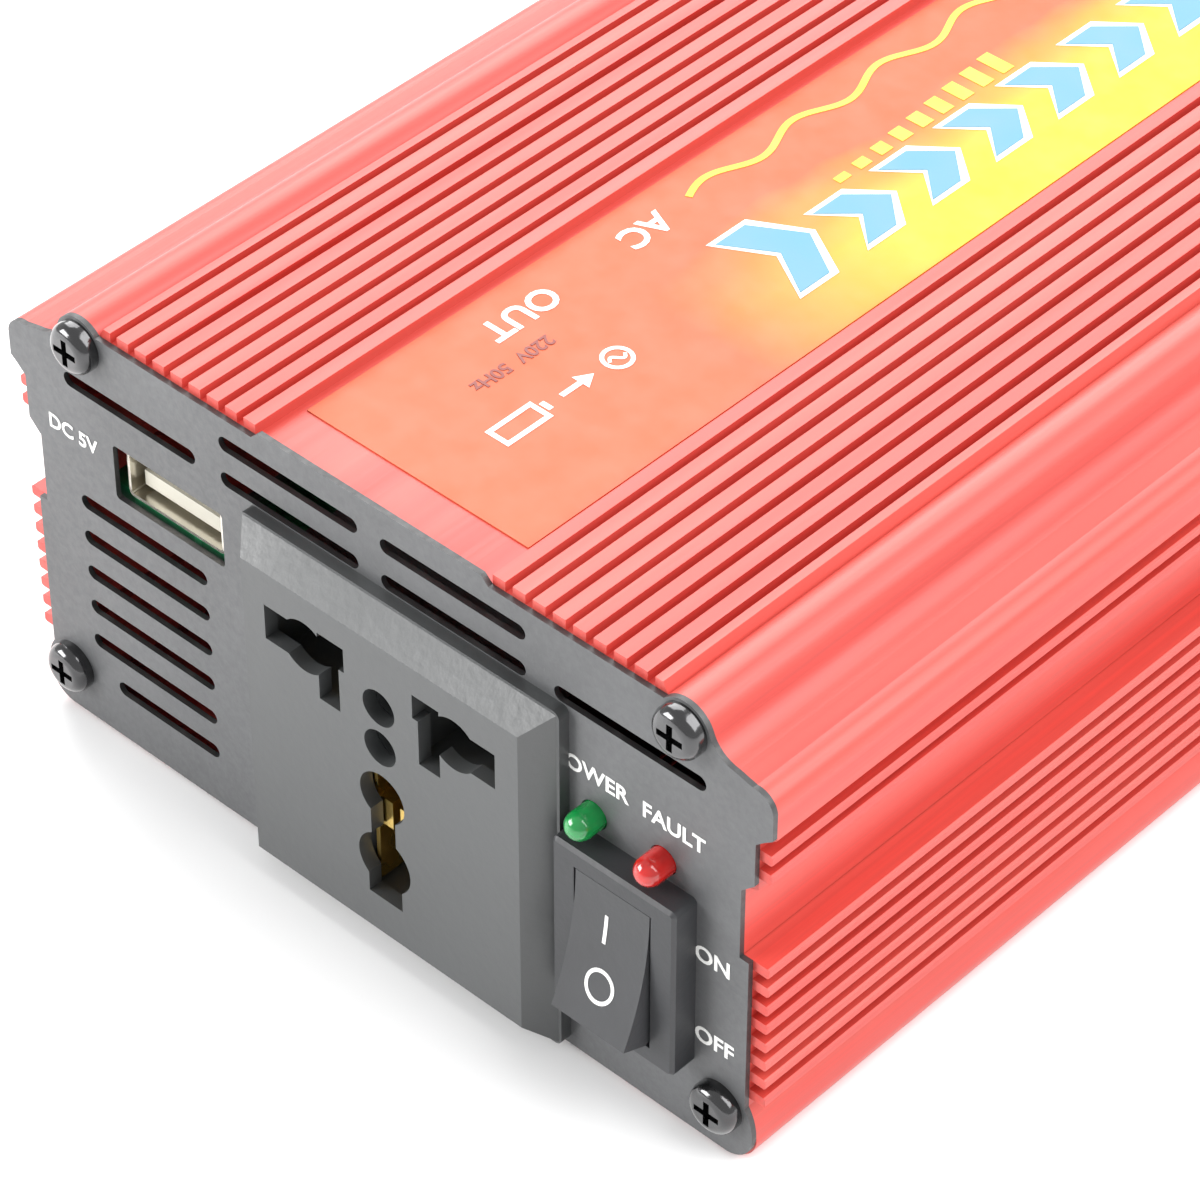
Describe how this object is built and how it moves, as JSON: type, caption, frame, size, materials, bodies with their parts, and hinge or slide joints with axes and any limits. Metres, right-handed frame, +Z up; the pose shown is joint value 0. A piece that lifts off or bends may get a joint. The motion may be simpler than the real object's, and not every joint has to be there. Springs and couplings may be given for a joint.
{
  "type": "power inverter",
  "caption": "Finned red aluminium box that turns battery current into mains, with a universal outlet, USB port, rocker switch, fan and screw terminals.",
  "frame": {"origin": "bottom centre of the whole object, on the surface it stands on", "axes": "+Z up, +Y from the outlet end to the battery terminal end, +X to the right when looking at the outlet"},
  "size_m": [0.0976, 0.2052, 0.053],
  "materials": {
    "anodised_red": "satin red anodised extrusion with fine lengthwise drawing lines",
    "black_panel": "semi-matt black powder coat on steel sheet",
    "black_screws": "glossy black oxide",
    "zinc_steel": "zinc plated",
    "label_film": "printed vinyl film, orange to yellow",
    "outlet_plastic": "fine-grained moulded black",
    "brass": "bare brass",
    "plated_steel": "nickel plated",
    "white_plastic": "moulded off-white",
    "circuit_board": "green solder mask",
    "chip_plastic": "moulded epoxy",
    "green_lens": "tinted translucent epoxy",
    "red_lens": "tinted translucent epoxy",
    "switch_plastic": "fine moulded black",
    "rocker_plastic": "smooth moulded black with white marks",
    "fan_plastic": "moulded black",
    "copper": "enamelled copper",
    "bush_plastic": "moulded black nylon",
    "red_knob": "moulded red",
    "black_knob": "moulded black",
    "ferrite": "ground ferrite",
    "winding_tape": "yellow polyester tape",
    "capacitor_sleeve": "dark heat-shrink sleeve",
    "fuse_plastic": "translucent blade fuse",
    "insulator": "silicone pad",
    "bare_aluminium": "mill finish",
    "red_wire": "extruded sleeve",
    "black_wire": "extruded sleeve"
  },
  "bodies": {
    "case": {"top_cover": "anodised_red", "bottom_shell": "anodised_red", "front_plate": "black_panel", "rear_plate": "black_panel", "front_plate_screws": "black_screws", "rear_plate_screws": "black_screws", "fan_screws": "black_screws", "fan_nuts": "zinc_steel", "top_label": "label_film", "outlet_cover": "outlet_plastic", "outlet_body": "outlet_plastic", "outlet_live_contact": "brass", "outlet_neutral_contact": "brass", "outlet_earth_contact": "brass", "usb_shell": "plated_steel", "usb_tongue": "white_plastic", "usb_contacts": "brass", "usb_board": "circuit_board", "usb_board_posts": "white_plastic", "main_board": "circuit_board", "control_board": "circuit_board", "chips": "chip_plastic", "power_led": "green_lens", "fault_led": "red_lens", "led_legs": "plated_steel", "switch_body": "switch_plastic", "switch_terminals": "brass", "fan_frame": "fan_plastic", "fan_stator": "copper", "terminal_bushes": "bush_plastic", "terminal_studs": "brass", "terminal_inner_washers": "bush_plastic", "terminal_lugs": "plated_steel", "terminal_nuts": "brass", "transformer_cores": "ferrite", "transformer_windings": "winding_tape", "transformer_bobbins": "bush_plastic", "capacitors": "capacitor_sleeve", "fuse_holders": "bush_plastic", "fuses": "fuse_plastic", "output_choke": "copper", "buzzer": "chip_plastic", "insulating_strips": "insulator", "transistors": "chip_plastic", "clamp_bars": "bare_aluminium", "positive_lead": "red_wire", "negative_lead": "black_wire", "outlet_wires": "red_wire", "switch_wires": "black_wire", "fan_wires": "red_wire"},
    "switch_rocker": {"switch_rocker": "rocker_plastic", "switch_plunger": "white_plastic"},
    "switch_contact_bar": {"switch_contact_bar": "brass"},
    "fan_rotor": {"fan_rotor": "fan_plastic"},
    "positive_washer": {"positive_washer": "brass"},
    "positive_knob": {"positive_knob": "red_knob", "positive_insert": "brass"},
    "negative_washer": {"negative_washer": "brass"},
    "negative_knob": {"negative_knob": "black_knob", "negative_insert": "brass"}
  },
  "joints": [
    {"name": "switch_rocker_tilt", "type": "hinge", "parent": "case", "child": "switch_rocker", "pos_m": [0.0328, -0.09736, 0.0198], "axis": [1, 0, 0], "range_deg": [0, 25]},
    {"name": "contact_bar_tilt", "type": "hinge", "parent": "case", "child": "switch_contact_bar", "pos_m": [0.0328, -0.09051, 0.0198], "axis": [1, 0, 0], "range_deg": [-16.5, 0]},
    {"name": "fan_spin", "type": "hinge", "parent": "case", "child": "fan_rotor", "pos_m": [0, 0.07934, 0.0265], "axis": [0, 1, 0], "continuous": true},
    {"name": "positive_washer_lift", "type": "slide", "parent": "case", "child": "positive_washer", "axis": [0, 1, 0], "range_m": [0, 0.0041]},
    {"name": "positive_knob_turn", "type": "hinge", "parent": "positive_washer", "child": "positive_knob", "pos_m": [0.034, 0.09664, 0.0265], "axis": [0, 1, 0], "range_deg": [0, 1440]},
    {"name": "negative_washer_lift", "type": "slide", "parent": "case", "child": "negative_washer", "axis": [0, 1, 0], "range_m": [0, 0.0041]},
    {"name": "negative_knob_turn", "type": "hinge", "parent": "negative_washer", "child": "negative_knob", "pos_m": [-0.034, 0.09664, 0.0265], "axis": [0, 1, 0], "range_deg": [0, 1440]}
  ],
  "couplings": [
    {"joint": "contact_bar_tilt", "follows": "switch_rocker_tilt", "ratio": -0.64},
    {"joint": "positive_washer_lift", "follows": "positive_knob_turn", "m_per_rad": 0.00015915},
    {"joint": "negative_washer_lift", "follows": "negative_knob_turn", "m_per_rad": 0.00015915}
  ]
}
